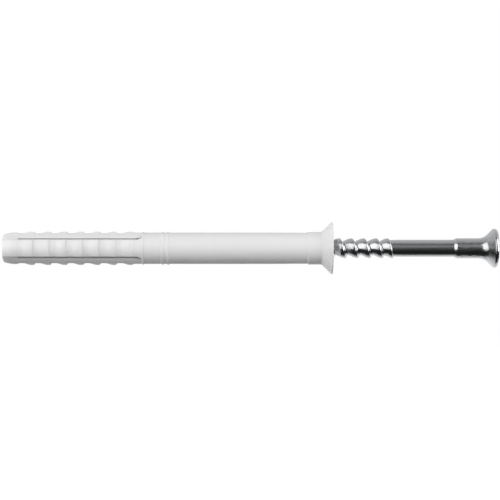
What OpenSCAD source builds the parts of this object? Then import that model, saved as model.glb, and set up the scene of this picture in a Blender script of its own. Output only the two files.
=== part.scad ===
// Hammer-in wall plug: a ribbed and slotted nylon sleeve with a countersunk collar,
// and the threaded nail that stands half driven in it.
// The common axis lies along X. The origin is the centre of the collar's outer face,
// so the sleeve reaches to -X and the head of the nail stands at +X.

/* [Sleeve] */
// Length of the sleeve from its tip to the outer face of the collar
sleeve_length = 80; // [70:1:100]
// Diameter of the plain shank
shank_d = 7.65; // [7.5:0.05:7.8]
// Diameter of the slightly slimmer neck under the collar
neck_d = 7.56; // [7.3:0.02:7.6]
// Length over which the shank narrows to the neck
neck_taper = 6.5; // [2:0.5:10]
// Distance from the collar's outer face to the start of the neck
neck_depth = 7.5; // [6.5:0.1:9]
// Diameter of the low band under the flange
band_d = 7.92; // [7.7:0.02:8.1]
// Length of the low band
band_length = 3.2; // [1.5:0.1:3.5]
// Diameter of the flange
flange_d = 12.65; // [11.5:0.05:13.5]
// Thickness of the flange's rim
flange_rim = 0.3; // [0.2:0.05:0.6]
// Diameter of the countersink at the outer face
countersink_d = 10; // [9.6:0.1:10.6]
// Diameter of the narrow bore between the legs
tip_bore_d = 2.5; // [1.6:0.1:3]
// Length of the cone that joins the wide bore to the narrow one
bore_cone = 5.5; // [3:0.5:8]
// Radial clearance between the thread and the wide bore
bore_clearance = 0.15; // [0.05:0.01:0.2]

/* [Legs] */
// Number of ribs, with the low one at the tip
rib_count = 8; // [4:1:9]
// Distance from one rib to the next
rib_pitch = 4; // [3.6:0.1:4.4]
// Diameter over the ribs
rib_d = 8.1; // [7.9:0.02:8.14]
// Diameter between the ribs
rib_root_d = 7.3; // [7:0.05:7.45]
// Diameter of the low rib at the tip
tip_rib_d = 7.68; // [7.5:0.02:7.8]
// Diameter of the tip's end
tip_d = 6.85; // [6:0.05:7]
// Width of the four slots between the legs
slot_width = 0.25; // [0.2:0.05:0.6]
// Width of the front and the back leg, whose side walls run along the grooves
leg_width = 4.1; // [3.6:0.1:4.4]
// Depth of the grooves below the shank's surface
groove_depth = 0.55; // [0.4:0.05:0.7]
// Radius that turns each groove's wall at its end
groove_end_r = 1.2; // [0.8:0.1:1.5]
// Plain length from the last rib to the end of the grooves
leg_root = 2.1; // [1.6:0.1:4]

/* [Beads] */
// Height of the beads and of the ring at the end of the grooves
bead_height = 0.16; // [0.05:0.01:0.2]
// Width of each bead
bead_width = 0.7; // [0.4:0.05:1]
// Distance from the end of the grooves to the middle of the first bead
bead_gap = 5.1; // [2:0.1:8]
// Distance from the first bead to the second
bead_pitch = 1.3; // [1:0.1:2]

/* [Nail] */
// Length of the nail from its point to the face of its head
nail_length = 85; // [78:1:130]
// Distance from the end of the grooves to the nail's point, which is as far as it is driven
point_gap = 1.4; // [0.5:0.1:10]
// Diameter over the thread
thread_d = 4.95; // [4.6:0.05:5.2]
// Diameter of the core between the turns
core_d = 3.4; // [3:0.05:3.6]
// Rise of the thread in one turn
thread_lead = 3; // [2.4:0.1:3.6]
// Rise of the last turn before the plain shank
last_lead = 2.4; // [2:0.1:3]
// Distance from the face of the head to the last steep side of the thread
plain_length = 25; // [18:0.1:28]
// Diameter of the plain shank
nail_d = 4.18; // [4:0.02:4.3]
// Diameter of the thicker part under the head
head_neck_d = 4.8; // [4.6:0.05:5]
// Distance from the face of the head to the thicker part
head_neck_depth = 9; // [7:0.5:12]
// Diameter of the head
head_d = 9.4; // [9:0.05:9.6]
// Thickness of the head's cylindrical rim
head_rim = 0.8; // [0.4:0.05:1]
// Length of the point
point_length = 3.4; // [2:0.2:6]
// Diameter of the blunt end of the point
point_d = 1.2; // [0.8:0.1:2]
// Width across the cross recess in the head
recess_d = 4.6; // [4:0.1:5]
// Depth of the cross recess
recess_depth = 2.5; // [1.5:0.1:3]
// Width of the recess's wings
recess_wing = 0.9; // [0.6:0.05:1.2]

/* [Hidden] */
$fn = 96;

// Amount by which a cutter runs past the solid that it cuts
past = 1;
shank_r = shank_d / 2;
neck_r = neck_d / 2;
band_r = band_d / 2;
flange_r = flange_d / 2;
rib_r = rib_d / 2;
rib_root_r = rib_root_d / 2;
tip_rib_r = tip_rib_d / 2;
tip_r = tip_d / 2;
bore_r = thread_d / 2 + bore_clearance;
tip_bore_r = tip_bore_d / 2;
countersink_r = countersink_d / 2;
core_r = core_d / 2;
thread_r = thread_d / 2;
nail_r = nail_d / 2;
head_neck_r = head_neck_d / 2;
head_r = head_d / 2;

// Places along the axis, counted from the collar's outer face
tip_z = -sleeve_length;
flange_z = -flange_rim - (flange_r - band_r);
band_z = flange_z - band_length;
band_step = 0.2;
tip_round = 0.3;
fillet_r = 0.4;
// The saw-tooth form of a rib, counted from the middle of its steep side
rib_ramp_start = -2.5;
rib_ramp_end = -1.15;
rib_crest_end = -0.2;
rib_drop_end = 0.15;
// The low rib at the tip has a longer crest, and its steep side closes the tip's ring
tip_ramp_end = -1.45;
first_drop_z = tip_z + rib_pitch - 0.5;
last_drop_z = first_drop_z + (rib_count - 1) * rib_pitch;
leg_z = last_drop_z + leg_root;
ring_z = leg_z + 0.1;
first_bead_z = leg_z + bead_gap;
point_z = leg_z + point_gap;
head_z = point_z + nail_length;
slot_start_z = first_drop_z + 0.25;
slot_end_z = leg_z - 0.05;
slot_angles = [45, 135, 225, 315];
slot_end_width = 0.75;
slot_flare = 1.3;
groove_floor_r = shank_r - groove_depth;
ring_width = 0.5;

// An arc of points, as radius and height, round a centre
function arc(centre_r, centre_z, radius, start, end, steps) =
    [for (i = [0:steps])
        let (angle = start + (end - start) * i / steps)
        [centre_r + radius * cos(angle), centre_z + radius * sin(angle)]];

// One rib: a ramp that rises from the tip and a steep side towards the collar
function rib(drop_z, end_r) = [
    [rib_root_r, drop_z + rib_ramp_start],
    [rib_r, drop_z + rib_ramp_end],
    [rib_r, drop_z + rib_crest_end],
    [end_r, drop_z + rib_drop_end]
];

// A low rounded bead round the shank
function bead(middle_z, width) =
    [for (i = [0:6]) [shank_r + bead_height * sin(30 * i), middle_z + width * (i / 6 - 0.5)]];

// The outline of the sleeve from the tip to the flange
function sleeve_outline() = concat(
    [[0, tip_z]],
    arc(tip_r - tip_round, tip_z + tip_round, tip_round, -90, 0, 4),
    [
        [tip_rib_r, first_drop_z + tip_ramp_end],
        [tip_rib_r, first_drop_z + rib_crest_end],
        [rib_root_r, first_drop_z + rib_drop_end]
    ],
    [for (k = [1:rib_count - 1])
        each rib(first_drop_z + k * rib_pitch, k < rib_count - 1 ? rib_root_r : shank_r)],
    bead(ring_z + ring_width / 2, ring_width),
    bead(first_bead_z, bead_width),
    bead(first_bead_z + bead_pitch, bead_width),
    [
        [shank_r, -neck_depth - neck_taper],
        [neck_r, -neck_depth],
        [neck_r, band_z - band_step],
        [band_r, band_z]
    ],
    arc(band_r + fillet_r, flange_z - fillet_r * tan(22.5), fillet_r, 180, 135, 3),
    [
        [flange_r, -flange_rim],
        [flange_r, 0],
        [0, 0]
    ]
);

// The space inside the sleeve: narrow between the legs, wide round the nail, open at the face
module sleeve_bore() {
    wide_z = leg_z + bore_cone * 0.35;
    rotate_extrude()
        polygon([
            [0, tip_z - past],
            [tip_bore_r, tip_z - past],
            [tip_bore_r, wide_z - bore_cone],
            [bore_r, wide_z],
            [bore_r, -(countersink_r - bore_r)],
            [countersink_r, 0],
            [countersink_r, past],
            [0, past]
        ]);
}

// One groove from the tip's end face to the end of the legs. The front leg's wall stands at
// right angles to the view from the side, and the floor faces halfway to the next leg.
module groove() {
    wall_x = leg_width / 2;
    depth = rib_r + past;
    intersection() {
        rotate([90, 0, 0])
            linear_extrude(height = depth)
                union() {
                    translate([wall_x, tip_z - past])
                        square([depth, leg_z - groove_end_r - tip_z + past]);
                    translate([wall_x + groove_end_r, tip_z - past])
                        square([depth, leg_z - tip_z + past]);
                    translate([wall_x + groove_end_r, leg_z - groove_end_r])
                        circle(r = groove_end_r);
                }
        rotate([0, 0, -45])
            translate([groove_floor_r, -depth, tip_z - past])
                cube([depth, 2 * depth, leg_z - tip_z + 2 * past]);
    }
}

// One slot, from the bore out through the floor of its groove. It widens towards its end.
module slot() {
    rotate([90, 0, 90])
        linear_extrude(height = rib_r + past)
            polygon([
                [-slot_width / 2, slot_start_z],
                [slot_width / 2, slot_start_z],
                [slot_width / 2, slot_end_z - slot_flare],
                [slot_end_width / 2, slot_end_z],
                [-slot_end_width / 2, slot_end_z],
                [-slot_width / 2, slot_end_z - slot_flare]
            ]);
}

module plug_sleeve() {
    color("gainsboro")
        rotate([0, 90, 0])
            difference() {
                rotate_extrude()
                    polygon(sleeve_outline());
                sleeve_bore();
                for (across = [0, 1], back = [0, 1])
                    mirror([across, 0, 0])
                        mirror([0, back, 0])
                            groove();
                for (angle = slot_angles)
                    rotate([0, 0, angle])
                        slot();
            }
}

// The thread is one strip wound round the core. Its section has four corners in each turn. The
// first two are counted from the steep side of the turn before, and the others from its own.
thread_steps = 24;
steep_side = 0.4;
root_flat = 0.25;
crest_flat = 0.6;
root_start = steep_side / 2;
section_z = [root_start, root_start + root_flat, -root_start - crest_flat, -root_start];
section_turn = [-1, -1, 0, 0];
section_height = [0, 0, 1, 1];
corners = len(section_z);
thread_end_z = head_z - plain_length;
thread_room = thread_end_z - last_lead - thread_lead + root_start - point_z - point_length;
full_steps = thread_steps * (1 + floor(thread_room / thread_lead));
strip_steps = full_steps + thread_steps;
thread_fade_in = 2;
fade_out_steps = 10;
core_cover = 0.02;
core_cover_end_z = strip_z(0) + root_start + root_flat;

// Place of the steep side along the axis at a step
function strip_z(step) =
    let (turns = (full_steps - step) / thread_steps)
    thread_end_z - last_lead * min(1, turns) - thread_lead * max(0, turns - 1);

// Share of the full thread height at a step, which fades in at the point and out at the end
function fade(step) =
    max(0, min(1,
        (strip_z(step) - strip_z(0)) / thread_fade_in,
        1 - (step - full_steps) / fade_out_steps));

// A corner of the thread's section at a step
function thread_point(step, corner) =
    let (angle = 360 * step / thread_steps)
    let (radius = core_r + (thread_r - core_r) * section_height[corner] * fade(step))
    let (start = strip_z(step + thread_steps * section_turn[corner]))
    [radius * cos(angle), radius * sin(angle), start + section_z[corner]];

// Place of a corner in the list of points, where the last corner is the next turn's first
function thread_index(step, corner) =
    corner < corners ? step * corners + corner : (step + thread_steps) * corners;

module nail_thread() {
    last = strip_steps;
    rows = strip_steps + thread_steps;
    grid = [for (step = [0:rows]) for (corner = [0:corners - 1]) thread_point(step, corner)];
    start_centre = len(grid);
    end_centre = start_centre + 1;
    start_z = strip_z(-thread_steps) + root_start;
    end_z = strip_z(last) + root_start;
    points = concat(grid, [[0, 0, start_z], [0, 0, end_z]]);
    skin = [for (step = [0:last - 1]) for (corner = [0:corners - 1]) each [
        [thread_index(step, corner), thread_index(step + 1, corner + 1), thread_index(step + 1, corner)],
        [thread_index(step, corner), thread_index(step, corner + 1), thread_index(step + 1, corner + 1)]
    ]];
    start_cap = concat(
        [for (step = [0:thread_steps - 1])
            [start_centre, thread_index(step, 0), thread_index(step + 1, 0)]],
        [for (corner = [0:corners - 1])
            [start_centre, thread_index(0, corner + 1), thread_index(0, corner)]]
    );
    end_cap = concat(
        [for (step = [last:last + thread_steps - 1])
            [end_centre, thread_index(step + 1, 0), thread_index(step, 0)]],
        [for (corner = [0:corners - 1])
            [end_centre, thread_index(last, corner), thread_index(last, corner + 1)]]
    );
    polyhedron(points = points, faces = concat(skin, start_cap, end_cap), convexity = 10);
}

// The point, and the short stretch of core that the thread rises from
module nail_point() {
    cone_end_z = point_z + point_length;
    rotate_extrude()
        polygon([
            [0, point_z],
            [point_d / 2, point_z],
            [core_r + core_cover, cone_end_z],
            [core_r + core_cover, core_cover_end_z],
            [0, core_cover_end_z]
        ]);
}

// The plain shank, the thicker part and the countersunk head
module nail_shank() {
    shank_start_z = thread_end_z - 1.6;
    shank_start_r = nail_r - 0.08;
    shank_start_taper = 1.1;
    shank_full_z = thread_end_z + 1;
    neck_top_z = head_z - head_neck_depth;
    head_neck_taper = 1.7;
    head_fillet = 2;
    cone_z = head_z - head_rim - (head_r - head_neck_r);
    chamfer = 0.15;
    rotate_extrude()
        polygon(concat(
            [
                [0, shank_start_z - shank_start_taper],
                [core_r - core_cover, shank_start_z - shank_start_taper],
                [shank_start_r, shank_start_z],
                [nail_r, shank_full_z],
                [nail_r, neck_top_z - head_neck_taper],
                [head_neck_r, neck_top_z]
            ],
            arc(head_neck_r + head_fillet, cone_z - head_fillet * tan(22.5), head_fillet, 180, 135, 6),
            [
                [head_r, head_z - head_rim],
                [head_r, head_z - chamfer],
                [head_r - chamfer, head_z],
                [0, head_z]
            ]
        ));
}

// A cross recess: two crossed wedges round a tapered hole
module cross_recess() {
    half = recess_d / 2;
    floor_half = half * 0.4;
    for (angle = [0, 90])
        rotate([0, 0, angle])
            rotate([90, 0, 0])
                linear_extrude(height = recess_wing, center = true)
                    polygon([
                        [-floor_half, head_z - recess_depth],
                        [floor_half, head_z - recess_depth],
                        [half, head_z],
                        [half, head_z + past],
                        [-half, head_z + past],
                        [-half, head_z]
                    ]);
    rotate_extrude()
        polygon([
            [0, head_z - recess_depth - 0.4],
            [floor_half * 0.8, head_z - recess_depth],
            [half * 0.62, head_z],
            [half * 0.62, head_z + past],
            [0, head_z + past]
        ]);
}

module nail_screw() {
    color("silver")
        rotate([0, 90, 0])
            difference() {
                union() {
                    nail_point();
                    nail_thread();
                    nail_shank();
                }
                cross_recess();
            }
}

plug_sleeve();
nail_screw();
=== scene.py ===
"""Hammer-in wall plug: a moulded nylon sleeve and the zinc-plated nail that stands half driven in it.

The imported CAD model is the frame. The sleeve and the nail are modelled again here with their moulded and
rolled detail, and stand for the two CAD nodes. The stage is a pale floor, soft boxes and the camera.
The common axis lies along X, and the origin is the centre of the collar's outer face.
"""

import math

import bmesh
import bpy
from bpy.props import FloatProperty, FloatVectorProperty, IntProperty, PointerProperty
from mathutils import Matrix, Vector


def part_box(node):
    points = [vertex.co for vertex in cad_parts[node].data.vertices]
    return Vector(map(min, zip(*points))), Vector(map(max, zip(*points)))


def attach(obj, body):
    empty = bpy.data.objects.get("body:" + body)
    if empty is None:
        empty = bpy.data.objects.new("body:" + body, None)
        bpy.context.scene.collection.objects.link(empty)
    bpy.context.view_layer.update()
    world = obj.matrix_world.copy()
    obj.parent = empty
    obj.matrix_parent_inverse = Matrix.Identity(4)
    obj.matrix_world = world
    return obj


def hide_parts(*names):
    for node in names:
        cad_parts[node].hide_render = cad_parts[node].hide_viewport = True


bl_info = {
    "name": "Hammer-in Wall Plug",
    "version": (1, 0, 0),
    "blender": (4, 5, 0),
    "location": "3D View > Sidebar > Wall Plug",
    "description": "Models a nylon wall plug with its nail, their finishes and a small studio",
    "category": "Add Mesh",
}

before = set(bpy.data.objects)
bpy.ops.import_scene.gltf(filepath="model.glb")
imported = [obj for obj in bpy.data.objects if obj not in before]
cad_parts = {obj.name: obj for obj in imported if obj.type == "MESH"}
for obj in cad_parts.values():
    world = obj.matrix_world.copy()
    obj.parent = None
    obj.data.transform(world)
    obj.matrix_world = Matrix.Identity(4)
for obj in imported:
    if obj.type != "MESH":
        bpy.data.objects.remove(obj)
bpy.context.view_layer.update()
SLEEVE_LOW, SLEEVE_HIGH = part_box("plug_sleeve")
NAIL_LOW, NAIL_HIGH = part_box("nail_screw")

MM = 0.001
# Facets all round, in multiples of four so that each piece is the same on its four sides
SLEEVE_FACETS = 104
NAIL_FACETS = 96
HOLE_FACETS = 24
# Width of the floor in metres, and the distances from under the plug between which it turns plain white
FLOOR_WIDTH = 8
PAPER_END = 0.1
WHITE_START = 0.6
# Strength of the even light, where a white background has 1
EVEN_LIGHT = 0.225
# The grey screen: its facets, its radius in metres, and where it starts and ends round the X axis, counted
# from the camera's side upwards
SCREEN_SEGMENTS = 72
SCREEN_RINGS = 24
SCREEN_RADIUS = 1.1
SCREEN_START = math.radians(-150)
SCREEN_END = math.radians(175)
# Its linear grey at angles in degrees: pale floor behind, dark below, dim by the camera, lighter overhead
SCREEN_GREYS = (
    (-150, 0.9), (-113, 0.6), (-98, 0.24), (-88, 0.02), (-45, 0.01), (-14, 0.035), (0, 0.06),
    (20, 0.22), (33, 0.21), (48, 0.09), (62, 0.12), (76, 0.38), (105, 0.48), (145, 0.62),
)
# The largest turn between two chords of a rounded corner
ARC_STEP = math.radians(12)
# Edges that turn by less than this are shaded smooth
SMOOTH_ANGLE = math.radians(32)
# Edges of the sleeve that turn by more than this are rounded
BEVEL_ANGLE = math.radians(40)
# Points that a spin or a screw lays on each other are merged within this distance
SEAM = 0.0005 * MM
# Points closer than this are leftovers of a cut and are merged
SLIVER = 0.001 * MM
# A rib's saw-tooth in millimetres, counted from the middle of its steep side
RAMP_START = -2.5
RAMP_END = -1.15
CREST_END = -0.2
DROP_END = 0.15
# The low rib at the tip is this much shorter than a pitch, in millimetres
LOW_RIB_SHORT = 0.5
# Plain length from the last rib to the end of the legs, in millimetres
LEG_ROOT = 2.1
# Length of the nail's point in millimetres
POINT_LENGTH = 3.4
# Sockets of a Mix node for colours, which share their names with its other sockets
MIX_A = 6
MIX_B = 7
MIX_RESULT = 2
# The middle of the camera's view
VIEW_X = -20.06 * MM
VIEW_Z = -0.41 * MM
# Soft boxes: name, place and what each one looks at in metres, width, height, radiance, and whether metal
# mirrors it. Otherwise the metal mirrors the grey screen and the backdrop in its place.
SOFT_BOXES = (
    ("front_box", (VIEW_X, -0.6, 0.0), (VIEW_X, 0, 0), 1.0, 0.4, 1.38, False),
    ("side_box", (-0.72, -0.1, 0.0), (VIEW_X, 0, 0), 0.8, 0.3, 6.0, False),
    ("back_box", (VIEW_X, 0.62, 0.2), (VIEW_X, 0, 0), 1.0, 0.5, 1.6, False),
    ("left_box", (-0.423, -0.494, 0.20), (0, 0, 0), 0.61, 0.85, 1.22, True),
    ("right_box", (0.50, -0.38, 0.22), (0, 0, 0), 0.4, 0.8, 3.0, True),
)


def length_property(name, description, default):
    """A length in metres."""
    return FloatProperty(
        name=name, description=description, default=default, min=0, unit="LENGTH", precision=5
    )


def linear(hex_colour):
    """An sRGB hex colour such as "#E8E8E8" as a linear colour with alpha."""
    channels = [int(hex_colour[i:i + 2], 16) / 255 for i in (1, 3, 5)]
    return [c / 12.92 if c <= 0.04045 else ((c + 0.055) / 1.055) ** 2.4 for c in channels] + [1.0]


def colour_property(description, hex_colour):
    """A colour with its default given as an sRGB hex colour."""
    return FloatVectorProperty(
        name="Colour", description=description, default=linear(hex_colour), size=4, subtype="COLOR"
    )


class SleeveSizes(bpy.types.PropertyGroup):
    """Sizes and colour of the moulded sleeve."""

    length: length_property("Length", "From the tip to the collar's outer face", -SLEEVE_LOW.x)
    collar: length_property("Collar", "Diameter of the collar", 2 * SLEEVE_HIGH.z)
    shank: length_property("Shank", "Diameter of the plain shank", 7.65 * MM)
    ribs: length_property("Ribs", "Diameter over the ribs", 8.1 * MM)
    roots: length_property("Roots", "Diameter between the ribs", 7.3 * MM)
    pitch: length_property("Pitch", "Distance from one rib to the next", 4 * MM)
    rib_count: IntProperty(
        name="Rib count", description="Number of ribs, with the low one at the tip", default=8, min=4, max=9
    )
    slot: length_property("Slot", "Width of the slots between the legs", 0.3 * MM)
    leg: length_property("Leg", "Width of the front and the back leg, between the grooves' walls", 4.1 * MM)
    groove_depth: length_property("Groove depth", "Depth of the grooves", 0.55 * MM)
    groove_end: length_property("Groove end", "Radius that turns a groove's wall at its end", 1.2 * MM)
    bead: length_property("Bead", "Height of the beads round the shank", 0.16 * MM)
    edge: length_property("Edge", "Rounding along the edges of the grooves", 0.07 * MM)
    colour: colour_property("Colour of the nylon", "#EAEAEA")


class NailSizes(bpy.types.PropertyGroup):
    """Sizes and colour of the nail."""

    point: length_property("Point", "Distance of the point behind the collar's face", -NAIL_LOW.x)
    reach: length_property("Reach", "Distance of the head's face in front of the collar", NAIL_HIGH.x)
    head: length_property("Head", "Diameter of the head", 2 * NAIL_HIGH.z)
    neck: length_property("Neck", "Diameter of the thicker part under the head", 4.9 * MM)
    shank: length_property("Shank", "Diameter of the plain shank", 4.18 * MM)
    thread: length_property("Thread", "Diameter over the thread", 4.95 * MM)
    core: length_property("Core", "Diameter between the turns", 3.4 * MM)
    lead: length_property("Lead", "Rise of the thread in one turn", 3 * MM)
    colour: colour_property("Colour of the zinc plate", "#DCDDDF")


class StageSizes(bpy.types.PropertyGroup):
    """Places of the floor and the camera."""

    floor: length_property("Floor", "Distance of the floor below the plug's axis", 62 * MM)
    distance: length_property("Distance", "Distance of the camera from the plug's axis", 340 * MM)
    width: length_property("Width", "Width of the view at the plug's axis", 121.85 * MM)


def start_fresh():
    """Leaves nothing selected, because an operator acts on all that is, and edit mode on vertices."""
    if bpy.context.object and bpy.context.object.mode != "OBJECT":
        bpy.ops.object.mode_set(mode="OBJECT")
    bpy.ops.object.select_all(action="DESELECT")
    bpy.context.tool_settings.mesh_select_mode = (True, False, False)


def rounded(corners, closed=False):
    """Points of an outline whose corners, as (x, r, fillet), are rounded by their fillets."""
    points = []
    last = len(corners) - 1
    for i, (x, r, fillet) in enumerate(corners):
        here = Vector((x, r))
        if fillet == 0 or (not closed and i in (0, last)):
            points.append(here)
            continue
        before = Vector(corners[i - 1][:2]) - here
        after = Vector(corners[(i + 1) % len(corners)][:2]) - here
        turn = math.pi - before.angle(after)
        reach = min(fillet * math.tan(turn / 2), 0.49 * before.length, 0.49 * after.length)
        radius = reach / math.tan(turn / 2)
        before.normalize()
        after.normalize()
        centre = here + (before + after).normalized() * radius / math.cos(turn / 2)
        start = here + before * reach - centre
        end = here + after * reach - centre
        steps = max(2, math.ceil(turn / ARC_STEP))
        for step in range(steps + 1):
            t = step / steps
            spoke = (start * math.sin((1 - t) * turn) + end * math.sin(t * turn)) / math.sin(turn)
            points.append(centre + spoke)
    return points


def draw_outline(name, points, start=0):
    """Draws an outline of (x, r) in millimetres vertex by vertex, moved along X, and stays in edit mode."""
    start_fresh()
    bpy.ops.mesh.primitive_plane_add(size=MM)
    piece = bpy.context.object
    piece.name = name
    bpy.ops.object.mode_set(mode="EDIT")
    bpy.ops.mesh.select_all(action="SELECT")
    bpy.ops.mesh.merge(type="CENTER")
    bpy.ops.transform.translate(value=((start + points[0].x) * MM, 0, points[0].y * MM))
    for a, b in zip(points, points[1:]):
        step = ((b.x - a.x) * MM, 0, (b.y - a.y) * MM)
        bpy.ops.mesh.extrude_vertices_move(TRANSFORM_OT_translate={"value": step})
    return piece


def lathe(name, points, facets, closed):
    """Spins an outline round the X axis. A closed one goes round a bore, an open one ends on the axis."""
    piece = draw_outline(name, points)
    if closed:
        mesh = bmesh.from_edit_mesh(piece.data)
        for vertex in mesh.verts:
            vertex.select = len(vertex.link_edges) == 1
        bmesh.update_edit_mesh(piece.data)
        bpy.ops.mesh.edge_face_add()
    bpy.ops.mesh.select_all(action="SELECT")
    bpy.ops.mesh.spin(steps=facets, angle=2 * math.pi, center=(0, 0, 0), axis=(1, 0, 0))
    bpy.ops.mesh.select_all(action="SELECT")
    bpy.ops.mesh.remove_doubles(threshold=SEAM)
    bpy.ops.mesh.normals_make_consistent(inside=False)
    bpy.ops.object.mode_set(mode="OBJECT")
    return piece


def combine(piece, other, operation):
    """Cuts another object away from a piece or joins it on, and deletes it."""
    start_fresh()
    bpy.context.view_layer.objects.active = piece
    modifier = piece.modifiers.new(operation.title(), "BOOLEAN")
    modifier.operation = operation
    modifier.solver = "MANIFOLD"
    modifier.object = other
    faces = len(piece.data.polygons)
    bpy.ops.object.modifier_apply(modifier=modifier.name)
    if len(piece.data.polygons) == faces:
        raise RuntimeError(other.name + " left " + piece.name + " as it was")
    bpy.data.objects.remove(other)


def turn_about_x(piece, angle):
    """Turns an object about the X axis through the origin and keeps its place in its mesh."""
    piece.data.transform(Matrix.Rotation(angle, 4, "X"))


def select_parts(piece, kind, test):
    """Selects the edges or the faces that pass a test, in edit mode."""
    mesh = bmesh.from_edit_mesh(piece.data)
    mesh.select_mode = {kind}
    for part in mesh.edges if kind == "EDGE" else mesh.faces:
        part.select = test(part)
    mesh.select_flush_mode()
    bmesh.update_edit_mesh(piece.data)


def box(name, low, high):
    """A box between two corners in millimetres, with its place in its mesh."""
    start_fresh()
    bpy.ops.mesh.primitive_cube_add(size=1)
    piece = bpy.context.object
    piece.name = name
    centre = [(a + b) / 2 * MM for a, b in zip(low, high)]
    size = [(b - a) * MM for a, b in zip(low, high)]
    piece.data.transform(Matrix.Translation(centre) @ Matrix.Diagonal((*size, 1)))
    return piece


def finish_edges(piece, width):
    """Rounds the hard edges a little and shades the rest smooth."""
    start_fresh()
    piece.select_set(True)
    bpy.context.view_layer.objects.active = piece
    if width:
        bevel = piece.modifiers.new("Edges", "BEVEL")
        bevel.limit_method = "ANGLE"
        bevel.angle_limit = BEVEL_ANGLE
        bevel.width = width
        bevel.segments = 2
        bevel.use_clamp_overlap = False
        bpy.ops.object.modifier_apply(modifier=bevel.name)
    # Where a cut passes close by a corner, it leaves points that lie on each other
    bpy.ops.object.mode_set(mode="EDIT")
    bpy.ops.mesh.select_all(action="SELECT")
    bpy.ops.mesh.remove_doubles(threshold=SLIVER)
    bpy.ops.object.mode_set(mode="OBJECT")
    bpy.ops.object.shade_smooth_by_angle(angle=SMOOTH_ANGLE)


def first_drop(sizes):
    """Place in millimetres of the steep side that ends the low rib at the tip."""
    return -sizes.length / MM + sizes.pitch / MM - LOW_RIB_SHORT


def legs_end(sizes):
    """Place in millimetres where the grooves and slots between the legs end."""
    return first_drop(sizes) + (sizes.rib_count - 1) * (sizes.pitch / MM) + LEG_ROOT


def sleeve_outline(sizes):
    """The sleeve's outline in millimetres: outside from the tip to the collar, and back through the bore."""
    tip = -sizes.length / MM
    collar = sizes.collar / 2 / MM
    shank = sizes.shank / 2 / MM
    rib = sizes.ribs / 2 / MM
    root = sizes.roots / 2 / MM
    bead = sizes.bead / MM
    first = first_drop(sizes)
    end = legs_end(sizes)
    # Radii of the tip's end, its low rib, the neck under the collar, the low band, the bore round the nail
    # and between the legs, and the countersink in the collar's face
    tip_end = 3.425
    low_rib = 3.84
    neck = 3.78
    band = 3.96
    bore = 2.625
    tip_bore = 1.25
    countersink = 5.0
    # Place where the low rib's ramp ends, counted from its steep side
    low_ramp_end = -1.45
    # Places where the shank starts to narrow and where it has, and of the step up to the low band
    narrows_from = -14
    narrow_from = -7.5
    step_from = -6.1
    step_to = -5.9
    # Thickness of the collar's rim, length of the cone in the bore, and the place of its wide end
    rim = 0.3
    bore_cone = 5.5
    wide_from = end + 1.925
    outline = [
        (tip, tip_bore + 0.05, 0.12),
        (tip, tip_end, 0.35),
        (first + low_ramp_end, low_rib, 1.5),
        (first + CREST_END, low_rib, 0.25),
        (first + DROP_END, root, 0.25),
    ]
    for k in range(1, sizes.rib_count):
        drop = first + k * (sizes.pitch / MM)
        foot = root if k < sizes.rib_count - 1 else shank
        outline += [
            (drop + RAMP_START, root, 1.2),
            (drop + RAMP_END, rib, 1.0),
            (drop + CREST_END, rib, 0.2),
            (drop + DROP_END, foot, 0.2),
        ]
    # Place, width and height of the ring at the end of the legs, of the two beads, and of a faint line that
    # the mould leaves round the shank
    ring = (end + 0.35, 0.5, bead)
    beads = ((end + 5.1, 0.7, bead), (end + 6.4, 0.7, bead))
    faint_line = (-28.1, 0.3, 0.02)
    for middle, width, height in (ring, *beads, faint_line):
        outline += [
            (middle - width / 2, shank, 0.05),
            (middle - width / 5, shank + height, 0.15),
            (middle + width / 5, shank + height, 0.15),
            (middle + width / 2, shank, 0.05),
        ]
    outline += [
        (narrows_from, shank, 60),
        (narrow_from, neck, 30),
        (step_from, neck, 0.1),
        (step_to, band, 0.12),
        (-rim - (collar - band), band, 0.6),
        (-rim, collar, 0.1),
        (0, collar, 0.08),
        (0, countersink, 0.12),
        (bore - countersink, bore, 0.6),
        (wide_from, bore, 2),
        (wide_from - bore_cone, tip_bore, 2),
    ]
    return rounded(outline, closed=True)


def groove_cutter(sizes, across, up):
    """A block with a wall along the front or back leg and a floor that faces halfway to the next leg.

    The signs across and up choose the leg and its side.
    """
    tip = -sizes.length / MM
    end = legs_end(sizes)
    wall = sizes.leg / 2 / MM
    floor = (sizes.shank / 2 - sizes.groove_depth) / MM
    # How far the block reaches past the tip and out from the axis, and the fillet along the groove's foot
    past = 2
    out = 8
    foot = 0.1 * MM
    low, high = sorted((up * wall, up * out))
    cutter = box("groove", (tip - past, -out, low), (end, out, high))
    bpy.ops.object.mode_set(mode="EDIT")
    # The wall's edge at the end of the legs turns outwards in a quarter circle
    back = end * MM - MM / 10
    near = (wall + 1) * MM
    select_parts(
        cutter, "EDGE", lambda edge: all(v.co.x > back and abs(v.co.z) < near for v in edge.verts)
    )
    bpy.ops.mesh.bevel(offset=sizes.groove_end, segments=8, profile=0.5, affect="EDGES")
    outward = Vector((0, across, up)).normalized()
    bpy.ops.mesh.select_all(action="SELECT")
    bpy.ops.mesh.bisect(plane_co=outward * floor * MM, plane_no=outward, use_fill=True, clear_inner=True)
    level = floor * MM + MM / 100
    select_parts(cutter, "EDGE", lambda edge: all(v.co.dot(outward) < level for v in edge.verts))
    bpy.ops.mesh.bevel(offset=foot, segments=3, profile=0.5, affect="EDGES")
    bpy.ops.mesh.select_all(action="SELECT")
    bpy.ops.mesh.normals_make_consistent(inside=False)
    bpy.ops.object.mode_set(mode="OBJECT")
    return cutter


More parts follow.
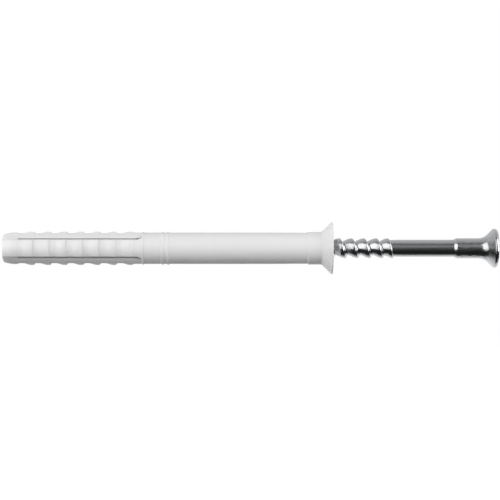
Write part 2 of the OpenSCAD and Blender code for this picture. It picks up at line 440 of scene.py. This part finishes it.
def slot_cutter(sizes, angle):
    """A thin box that widens at its end, which parts two legs from the bore out to their groove."""
    half = sizes.slot / 2 / MM
    # The flare ends just before the legs do. It is this long, and this is half the width of its end.
    flare_length = 1.3
    flare_half = 0.375
    flare = legs_end(sizes) - flare_length - 0.05
    # The box starts inside the bore, just behind the low rib, and ends outside the ribs
    start = first_drop(sizes) + 0.25
    inside = 0.3
    outside = 6
    cutter = box("slot", (start, -half, inside), (flare, half, outside))
    bpy.ops.object.mode_set(mode="EDIT")
    bpy.ops.mesh.select_mode(type="FACE")
    back = flare * MM - MM / 10
    select_parts(cutter, "FACE", lambda face: face.calc_center_median().x > back)
    bpy.ops.mesh.extrude_region_move(TRANSFORM_OT_translate={"value": (flare_length * MM, 0, 0)})
    bpy.ops.transform.resize(value=(1, flare_half / half, 1), center_override=(flare * MM, 0, 0))
    bpy.ops.object.mode_set(mode="OBJECT")
    turn_about_x(cutter, angle)
    return cutter


def nail_outline(sizes):
    """The nail's outline in millimetres from its point to its head, without the thread."""
    point = -sizes.point / MM
    face = sizes.reach / MM
    # The bright rim melts into the white backdrop, so the head is this much wider all round
    glare = 0.06
    head = sizes.head / 2 / MM + glare
    neck = sizes.neck / 2 / MM
    shank = sizes.shank / 2 / MM
    core = sizes.core / 2 / MM
    # Radii of the point's blunt end, and of the core where it is bare and where the thread hides it
    blunt = 0.6
    bare = core + 0.02
    hidden = core - 0.15
    # Places between which the thread hides the core, where the core has widened nearly to the shank and all
    # the way, where the shank widens again to the neck, and the rim's two edges
    hidden_from = point + 8.8
    hidden_to = 12.2
    nearly_shank = 13.4
    shank_from = 16.0
    widens_from = face - 10.5
    neck_from = face - 9.85
    rim_from = face - 0.85
    rim_to = face - 0.45
    return rounded([
        (point, 0, 0),
        (point, blunt, 0.25),
        (point + POINT_LENGTH, bare, 2),
        (hidden_from - 0.2, bare, 0),
        (hidden_from, hidden, 0),
        (hidden_to, hidden, 0),
        (hidden_to + 0.05, core - 0.02, 0),
        (nearly_shank, shank - 0.08, 1.5),
        (shank_from, shank, 8),
        (widens_from, shank, 0.8),
        (neck_from, neck, 0.8),
        (rim_from - (head - neck), neck, 3.2),
        (rim_from, head, 0.4),
        (rim_to, head, 0.4),
        (face - 0.06, head - 0.2, 0.12),
        (face, head - 0.38, 0.1),
        (face, 0, 0),
    ])


def thread_section(sizes):
    """One turn of the thread's section in millimetres, counted from the middle of its steep side."""
    core = sizes.core / 2 / MM
    crest = sizes.thread / 2 / MM
    # Places of the steep side's foot, here and one turn before, of the ramp's start and of the crest's edges
    foot = 0.2
    start = foot - sizes.lead / MM
    ramp_start = start + 0.3
    crest_start = -1.2
    crest_end = -0.22
    # The second edge stands a little too high, because its fillet takes it down
    return rounded([
        (start, core, 0),
        (ramp_start, core, 0.3),
        (crest_start, crest - 0.17, 0.5),
        (crest_end, crest + 0.04, 0.42),
        (foot - 0.05, core + 0.05, 0.15),
        (foot, core, 0),
    ])


def wind_thread(sizes):
    """Winds the section round the axis, fades it in at the point and out at the shank, and closes it.

    The last turn is a little shorter than the others, as the real one is.
    """
    # Places along X in millimetres: where the strip ends, where its height has faded out, and from where
    # the turns are a fifth shorter. It fades in and out over these lengths.
    end = 17.05
    faded = 16.8
    shortened_from = 12.55
    shortening = 0.2
    fade_in = 2
    fade_out = 1.25

    def shift(steep):
        return -shortening * max(0.0, steep - shortened_from)

    lead = sizes.lead / MM
    core = sizes.core / 2 / MM
    turns = int((end + sizes.point / MM - POINT_LENGTH) / lead) - 1
    start = end - turns * lead
    section = thread_section(sizes)
    thread = draw_outline("thread", section, start)
    bpy.ops.object.mode_set(mode="OBJECT")
    screw = thread.modifiers.new("Wind", "SCREW")
    screw.axis = "X"
    screw.screw_offset = lead * MM
    screw.iterations = turns
    screw.steps = screw.render_steps = NAIL_FACETS
    screw.use_merge_vertices = True
    screw.merge_threshold = SEAM
    bpy.ops.object.modifier_apply(modifier=screw.name)
    for vertex in thread.data.vertices:
        # Where the point lies in its turn's section, and where that turn's steep side is
        x, y, z = (value / MM for value in vertex.co)
        radius = math.hypot(y, z)
        angle = math.atan2(-y, z) % (2 * math.pi)
        place = (x - start - section[0].x - lead * angle / (2 * math.pi)) % lead
        steep = x - section[0].x - place
        fade = max(0.0, min(1.0, (steep - start) / fade_in, (faded - steep) / fade_out))
        radius_new = core + (radius - core) * fade
        vertex.co.x += (shift(steep - lead) + (shift(steep) - shift(steep - lead)) * (place / lead)) * MM
        vertex.co.y *= radius_new / radius
        vertex.co.z *= radius_new / radius
    bpy.ops.object.mode_set(mode="EDIT")
    bpy.ops.mesh.select_all(action="SELECT")
    bpy.ops.mesh.remove_doubles(threshold=SEAM)
    middle = (start + end) / 2 * MM
    for side in (-1, 1):
        select_parts(
            thread, "EDGE", lambda edge: edge.is_boundary and (edge.verts[0].co.x - middle) * side > 0
        )
        bpy.ops.mesh.extrude_edges_move()
        bpy.ops.mesh.merge(type="CENTER")
    bpy.ops.mesh.select_all(action="SELECT")
    bpy.ops.mesh.remove_doubles(threshold=SEAM)
    bpy.ops.mesh.normals_make_consistent(inside=False)
    bpy.ops.object.mode_set(mode="OBJECT")
    return thread


def recess_cutters(sizes):
    """Two crossed wedges and a tapered hole, which make the cross recess in the head."""
    face = sizes.reach / MM
    # Half the recess's width at the head's face, half a wing's thickness, the depth, and how far the
    # cutters stand out of the face
    half = 2.3
    thick = 0.45
    depth = 2.5
    past = 1
    # Shares of that width and thickness at the wings' floor, and of the width out of the face, where the
    # wings go on at the same slope
    floor_width = 0.4
    floor_thick = 0.8
    past_width = 1.24
    # How much deeper the hole between the wings goes, and its radii at their floor, in the face and out of it
    hole_point = 0.4
    floor_hole = 0.75
    face_hole = 1.45
    past_hole = 1.6
    cutters = []
    for angle in (0, math.pi / 2):
        wedge = box("wing", (face - depth, -thick, -half), (face + past, thick, half))
        for vertex in wedge.data.vertices:
            if vertex.co.x < face * MM:
                vertex.co.z *= floor_width
                vertex.co.y *= floor_thick
            else:
                vertex.co.z *= past_width
        turn_about_x(wedge, angle)
        cutters.append(wedge)
    hole = [
        (face - depth - hole_point, 0), (face - depth, floor_hole), (face, face_hole),
        (face + past, past_hole), (face + past, 0),
    ]
    cutters.append(lathe("hole", [Vector(corner) for corner in hole], HOLE_FACETS, False))
    return cutters


def add_node(tree, kind, links=None, **settings):
    """Adds a node, sets its inputs and properties, and links its inputs to (node, output) pairs.

    A setting is named for an input, with underscores for its spaces, or else for a property of the node.
    """
    node = tree.nodes.new(kind)
    for name, value in settings.items():
        label = name.replace("_", " ")
        if label in node.inputs:
            node.inputs[label].default_value = value
        else:
            setattr(node, name, value)
    for name, (source, output) in (links or {}).items():
        tree.links.new(source.outputs[output], node.inputs[name])
    return node


def new_material(name):
    """An empty node material with its output, and the tree that holds it."""
    material = bpy.data.materials.new(name)
    material.use_nodes = True
    tree = material.node_tree
    tree.nodes.clear()
    return material, tree, add_node(tree, "ShaderNodeOutputMaterial")


def moulded_nylon(colour):
    """Natural polyamide from a spark-eroded mould: satin, a little see-through, with faint flow marks, and
    painted shade in the slots and bore.
    """
    material, tree, output = new_material("moulded_nylon")
    place = add_node(tree, "ShaderNodeTexCoord")
    # Flow marks a few millimetres long make the grey a touch uneven along the sleeve
    stretch = add_node(tree, "ShaderNodeMapping", {"Vector": (place, "Object")}, Scale=(0.25, 1, 1))
    flow = add_node(
        tree, "ShaderNodeTexNoise", {"Vector": (stretch, "Vector")}, Scale=1 / (2.5 * MM), Detail=3.0
    )
    tint = add_node(tree, "ShaderNodeMix", {"Factor": (flow, "Fac")}, data_type="RGBA")
    tint.inputs[MIX_A].default_value = [0.955 * c for c in colour[:3]] + [1]
    tint.inputs[MIX_B].default_value = colour
    # Painted shade: little light finds its way into the slots between the legs and into the bore, so surfaces
    # there that don't face outwards are painted a duller grey
    split = add_node(tree, "ShaderNodeSeparateXYZ", {0: (place, "Object")})
    across = add_node(tree, "ShaderNodeMapping", {"Vector": (place, "Object")}, Scale=(0, 1, 1))
    outward = add_node(tree, "ShaderNodeVectorMath", {0: (across, "Vector")}, operation="NORMALIZE")
    facing = add_node(
        tree, "ShaderNodeVectorMath", {0: (outward, "Vector"), 1: (place, "Normal")}, operation="DOT_PRODUCT"
    )
    outside = add_node(tree, "ShaderNodeMapRange", {"Value": (facing, "Value")}, From_Min=0.2, From_Max=0.45)
    # Only the legs have slots, so the tip's end face and all that lies past the legs keep the full colour,
    # with no painted shade
    shank = add_node(
        tree, "ShaderNodeMapRange", {"Value": (split, "X")},
        From_Min=SLEEVE_LOW.x + 34 * MM, From_Max=SLEEVE_LOW.x + 36 * MM,
    )
    tip = add_node(
        tree, "ShaderNodeMapRange", {"Value": (split, "X")},
        From_Min=SLEEVE_LOW.x + 3 * MM, From_Max=SLEEVE_LOW.x + 2 * MM,
    )
    ends = add_node(tree, "ShaderNodeMath", {0: (shank, 0), 1: (tip, 0)}, operation="MAXIMUM")
    lit = add_node(tree, "ShaderNodeMath", {0: (outside, 0), 1: (ends, 0)}, operation="MAXIMUM")
    skin_and_painted_shade = add_node(tree, "ShaderNodeMix", {"Factor": (lit, 0), MIX_B: (tint, MIX_RESULT)}, data_type="RGBA")
    # The painted shade is the nylon's colour at a little under half its brightness
    skin_and_painted_shade.inputs[MIX_A].default_value = [0.48 * c for c in colour[:3]] + [1]
    # The mould's fine grain, a seventh of a millimetre, breaks up the sheen
    grain = add_node(
        tree, "ShaderNodeTexNoise", {"Vector": (place, "Object")}, Scale=1 / (0.14 * MM), Detail=2.0
    )
    bump = add_node(tree, "ShaderNodeBump", {"Height": (grain, "Fac")}, Strength=0.22, Distance=0.02 * MM)
    sheen = add_node(tree, "ShaderNodeMapRange", {"Value": (flow, "Fac")}, To_Min=0.16, To_Max=0.25)
    shader = add_node(
        tree, "ShaderNodeBsdfPrincipled",
        {"Base Color": (skin_and_painted_shade, MIX_RESULT), "Roughness": (sheen, "Result"), "Normal": (bump, "Normal")},
        IOR=1.53, Subsurface_Weight=0.2, Subsurface_Radius=(1.0, 0.95, 0.9), Subsurface_Scale=0.8 * MM,
    )
    tree.links.new(shader.outputs["BSDF"], output.inputs["Surface"])
    return material


def bright_zinc(colour):
    """Steel wire with bright electroplated zinc: a mirror with drawing lines and a slightly uneven skin."""
    material, tree, output = new_material("bright_zinc_plate")
    place = add_node(tree, "ShaderNodeTexCoord")
    # Lines left by drawing the wire run along it. The real ones are finer: a quarter of a millimetre still
    # shows in the picture
    stretch = add_node(tree, "ShaderNodeMapping", {"Vector": (place, "Object")}, Scale=(0.06, 1, 1))
    lines = add_node(
        tree, "ShaderNodeTexNoise", {"Vector": (stretch, "Vector")}, Scale=1 / (0.25 * MM), Detail=3.0
    )
    # Marks about a millimetre across, left by the dies, make the reflections waver
    waver = add_node(
        tree, "ShaderNodeTexNoise", {"Vector": (place, "Object")}, Scale=1 / (0.9 * MM), Detail=2.0
    )
    along = add_node(tree, "ShaderNodeSeparateXYZ", {0: (place, "Object")})
    # The dies that gripped the neck for heading marked it more than they did the shank
    gripped = add_node(
        tree, "ShaderNodeMapRange", {"Value": (along, "X")},
        From_Min=29 * MM, From_Max=31 * MM, To_Min=0.3, To_Max=1.0,
    )
    # The forged cone and face of the head have no drawing lines, and the punched face is smoothest
    facing = add_node(tree, "ShaderNodeSeparateXYZ", {0: (place, "Normal")})
    endwise = add_node(tree, "ShaderNodeMath", {0: (facing, "X")}, operation="ABSOLUTE")
    drawn = add_node(
        tree, "ShaderNodeMapRange", {"Value": (endwise, 0)},
        From_Min=0.5, From_Max=0.85, To_Min=0.5, To_Max=0.03,
    )
    punched = add_node(
        tree, "ShaderNodeMapRange", {"Value": (endwise, 0)},
        From_Min=0.2, From_Max=0.95, To_Min=1.0, To_Max=0.15,
    )
    marked = add_node(tree, "ShaderNodeMath", {0: (gripped, 0), 1: (punched, 0)}, operation="MULTIPLY")
    fine = add_node(
        tree, "ShaderNodeBump", {"Height": (lines, "Fac"), "Strength": (drawn, "Result")}, Distance=0.03 * MM
    )
    bump = add_node(
        tree, "ShaderNodeBump",
        {"Height": (waver, "Fac"), "Normal": (fine, "Normal"), "Strength": (marked, 0)},
        Distance=0.12 * MM,
    )
    cloud = add_node(tree, "ShaderNodeMapRange", {"Value": (lines, "Fac")}, To_Min=0.16, To_Max=0.28)
    shader = add_node(
        tree, "ShaderNodeBsdfPrincipled", {"Roughness": (cloud, "Result"), "Normal": (bump, "Normal")},
        Base_Color=colour, Metallic=1.0,
    )
    tree.links.new(shader.outputs["BSDF"], output.inputs["Surface"])
    return material


class WALLPLUG_OT_sleeve(bpy.types.Operator):
    """Models the nylon sleeve with its ribs, grooves, slots, beads and collar"""

    bl_idname = "mesh.wall_plug_sleeve"
    bl_label = "Nylon Sleeve"

    def execute(self, context):
        sizes = context.scene.wall_plug_sleeve
        sleeve = lathe("nylon_sleeve", sleeve_outline(sizes), SLEEVE_FACETS, True)
        for across, up, angle in ((-1, 1, 45), (-1, -1, 135), (1, -1, 225), (1, 1, 315)):
            combine(sleeve, groove_cutter(sizes, across, up), "DIFFERENCE")
            combine(sleeve, slot_cutter(sizes, math.radians(angle)), "DIFFERENCE")
        finish_edges(sleeve, sizes.edge)
        sleeve.data.materials.clear()
        sleeve.data.materials.append(moulded_nylon(sizes.colour))
        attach(sleeve, "root")
        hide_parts("plug_sleeve")
        return {"FINISHED"}


class WALLPLUG_OT_nail(bpy.types.Operator):
    """Models the nail with its wound thread, plain shank and countersunk head"""

    bl_idname = "mesh.wall_plug_nail"
    bl_label = "Zinc-plated Nail"

    def execute(self, context):
        sizes = context.scene.wall_plug_nail
        nail = lathe("zinc_nail", nail_outline(sizes), NAIL_FACETS, False)
        combine(nail, wind_thread(sizes), "UNION")
        for cutter in recess_cutters(sizes):
            combine(nail, cutter, "DIFFERENCE")
        finish_edges(nail, 0)
        nail.data.materials.clear()
        nail.data.materials.append(bright_zinc(sizes.colour))
        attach(nail, "root")
        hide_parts("nail_screw")
        return {"FINISHED"}


def soft_box(name, place, target, width, height, radiance, mirrored):
    """A soft box that looks at a point. A radiance of 1 is that of white in the picture."""
    light = bpy.data.lights.new(name, "AREA")
    light.shape = "RECTANGLE"
    light.size = width
    light.size_y = height
    light.energy = radiance * math.pi * width * height
    lamp = bpy.data.objects.new(name, light)
    bpy.context.scene.collection.objects.link(lamp)
    lamp.location = place
    lamp.rotation_euler = (Vector(target) - Vector(place)).to_track_quat("-Z", "Y").to_euler()
    lamp.visible_camera = False
    lamp.visible_glossy = mirrored


def add_floor(depth):
    """A wide pale floor. Near the plug it takes light and shadow, and far off it is plain white."""
    start_fresh()
    bpy.ops.mesh.primitive_plane_add(size=FLOOR_WIDTH, location=(0, 0, -depth))
    floor = bpy.context.object
    floor.name = "floor"
    material, tree, output = new_material("pale_floor")
    seen = white_rays(tree)
    place = add_node(tree, "ShaderNodeTexCoord")
    far = add_node(tree, "ShaderNodeVectorMath", {0: (place, "Object")}, operation="LENGTH")
    spread = add_node(
        tree, "ShaderNodeMapRange", {"Value": (far, "Value")}, From_Min=PAPER_END, From_Max=WHITE_START
    )
    # Seen by other surfaces the floor is a dark grey, so that it throws little light up
    dull = add_node(tree, "ShaderNodeBsdfDiffuse", Color=linear("#565656"))
    paper = add_node(tree, "ShaderNodeBsdfDiffuse", Color=linear("#F4F4F4"))
    lift = add_node(tree, "ShaderNodeEmission", Strength=0.58)
    near = add_node(tree, "ShaderNodeAddShader", {0: (paper, 0), 1: (lift, 0)})
    white = add_node(tree, "ShaderNodeEmission", Strength=1.0)
    pale = add_node(tree, "ShaderNodeMixShader", {0: (spread, "Result"), 1: (near, 0), 2: (white, 0)})
    mix = add_node(tree, "ShaderNodeMixShader", {0: (seen, 0), 1: (dull, 0), 2: (pale, 0)})
    tree.links.new(mix.outputs[0], output.inputs["Surface"])
    floor.data.materials.append(material)
    # The backdrop that the metal mirrors is the white world
    floor.visible_glossy = False
    return floor


def white_rays(tree):
    """One for rays from the camera, a mirror or glass, which see a white background, and zero for others."""
    path = add_node(tree, "ShaderNodeLightPath")
    mirrored = add_node(
        tree, "ShaderNodeMath", {0: (path, "Is Camera Ray"), 1: (path, "Is Glossy Ray")}, operation="MAXIMUM"
    )
    return add_node(
        tree, "ShaderNodeMath", {0: (mirrored, 0), 1: (path, "Is Transmission Ray")}, operation="MAXIMUM"
    )


def add_grey_screen():
    """A grey screen round the set, which only the metal mirrors, as it would a dim room behind the lamps.

    It leaves out the white backdrop behind the plug. Its grey goes by the angle round the X axis, from the
    floor behind, past the camera and the ceiling, to the top of the backdrop.
    """
    start_fresh()
    bpy.ops.mesh.primitive_uv_sphere_add(
        segments=SCREEN_SEGMENTS, ring_count=SCREEN_RINGS, radius=SCREEN_RADIUS
    )
    screen = bpy.context.object
    screen.name = "grey_screen"
    screen.data.transform(Matrix.Rotation(math.pi / 2, 4, "Y"))
    bpy.ops.object.mode_set(mode="EDIT")

    def left_out(face):
        middle = face.calc_center_median()
        return not SCREEN_START < math.atan2(middle.z, -middle.y) < SCREEN_END

    select_parts(screen, "FACE", left_out)
    bpy.ops.mesh.delete(type="FACE")
    bpy.ops.object.mode_set(mode="OBJECT")
    material, tree, output = new_material("grey_screen")
    place = add_node(tree, "ShaderNodeTexCoord")
    split = add_node(tree, "ShaderNodeSeparateXYZ", {0: (place, "Object")})
    front = add_node(tree, "ShaderNodeMath", {0: (split, "Y")}, operation="MULTIPLY")
    front.inputs[1].default_value = -1
    angle = add_node(tree, "ShaderNodeMath", {0: (split, "Z"), 1: (front, 0)}, operation="ARCTAN2")
    turn = add_node(tree, "ShaderNodeMapRange", {"Value": (angle, 0)}, From_Min=-math.pi, From_Max=math.pi)
    ramp = add_node(tree, "ShaderNodeValToRGB", {"Fac": (turn, "Result")})
    stops = ramp.color_ramp.elements
    while len(stops) < len(SCREEN_GREYS):
        stops.new(0.5)
    for stop, (degrees, grey) in zip(stops, SCREEN_GREYS):
        stop.position = 0.5 + degrees / 360
        stop.color = (grey, grey, grey, 1)
    glow = add_node(tree, "ShaderNodeEmission", {"Color": (ramp, "Color")})
    tree.links.new(glow.outputs[0], output.inputs["Surface"])
    screen.data.materials.append(material)
    screen.visible_camera = False
    screen.visible_diffuse = False
    screen.visible_transmission = False
    screen.visible_shadow = False
    return screen


def add_world():
    """A white background, and a dim even light on what isn't a mirror."""
    world = bpy.data.worlds.new("studio")
    bpy.context.scene.world = world
    world.use_nodes = True
    tree = world.node_tree
    tree.nodes.clear()
    seen = white_rays(tree)
    strength = add_node(tree, "ShaderNodeMapRange", {"Value": (seen, 0)}, To_Min=EVEN_LIGHT, To_Max=1.0)
    background = add_node(
        tree, "ShaderNodeBackground", {"Strength": (strength, "Result")}, Color=(1, 1, 1, 1)
    )
    output = add_node(tree, "ShaderNodeOutputWorld")
    tree.links.new(background.outputs[0], output.inputs["Surface"])


class WALLPLUG_OT_stage(bpy.types.Operator):
    """Sets up the pale floor, the soft boxes and the camera of the photograph"""

    bl_idname = "scene.wall_plug_stage"
    bl_label = "Studio"

    def execute(self, context):
        sizes = context.scene.wall_plug_stage
        add_world()
        add_floor(sizes.floor)
        add_grey_screen()
        for settings in SOFT_BOXES:
            soft_box(*settings)
        camera = bpy.data.cameras.new("camera")
        camera.sensor_width = 36
        camera.lens = camera.sensor_width * sizes.distance / sizes.width
        camera.clip_start = 10 * MM
        viewer = bpy.data.objects.new("camera", camera)
        context.scene.collection.objects.link(viewer)
        viewer.location = (VIEW_X, -sizes.distance, VIEW_Z)
        viewer.rotation_euler = (math.pi / 2, 0, 0)
        context.scene.camera = viewer
        context.scene.view_settings.view_transform = "Standard"
        return {"FINISHED"}


class WALLPLUG_PT_panel(bpy.types.Panel):
    """Lists the steps that build the plug"""

    bl_idname = "WALLPLUG_PT_panel"
    bl_label = "Wall Plug"
    bl_space_type = "VIEW_3D"
    bl_region_type = "UI"
    bl_category = "Wall Plug"

    def draw(self, context):
        for operator in (WALLPLUG_OT_sleeve, WALLPLUG_OT_nail, WALLPLUG_OT_stage):
            self.layout.operator(operator.bl_idname)


CLASSES = (
    SleeveSizes, NailSizes, StageSizes,
    WALLPLUG_OT_sleeve, WALLPLUG_OT_nail, WALLPLUG_OT_stage, WALLPLUG_PT_panel,
)


def register():
    """Adds the classes and their settings to Blender."""
    for item in CLASSES:
        bpy.utils.register_class(item)
    bpy.types.Scene.wall_plug_sleeve = PointerProperty(type=SleeveSizes)
    bpy.types.Scene.wall_plug_nail = PointerProperty(type=NailSizes)
    bpy.types.Scene.wall_plug_stage = PointerProperty(type=StageSizes)


def unregister():
    """Takes them out again."""
    del bpy.types.Scene.wall_plug_stage
    del bpy.types.Scene.wall_plug_nail
    del bpy.types.Scene.wall_plug_sleeve
    for item in reversed(CLASSES):
        bpy.utils.unregister_class(item)


def main():
    """Builds the plug and its stage."""
    register()
    bpy.ops.scene.wall_plug_stage()
    bpy.ops.mesh.wall_plug_sleeve()
    bpy.ops.mesh.wall_plug_nail()


if __name__ == "__main__":
    main()
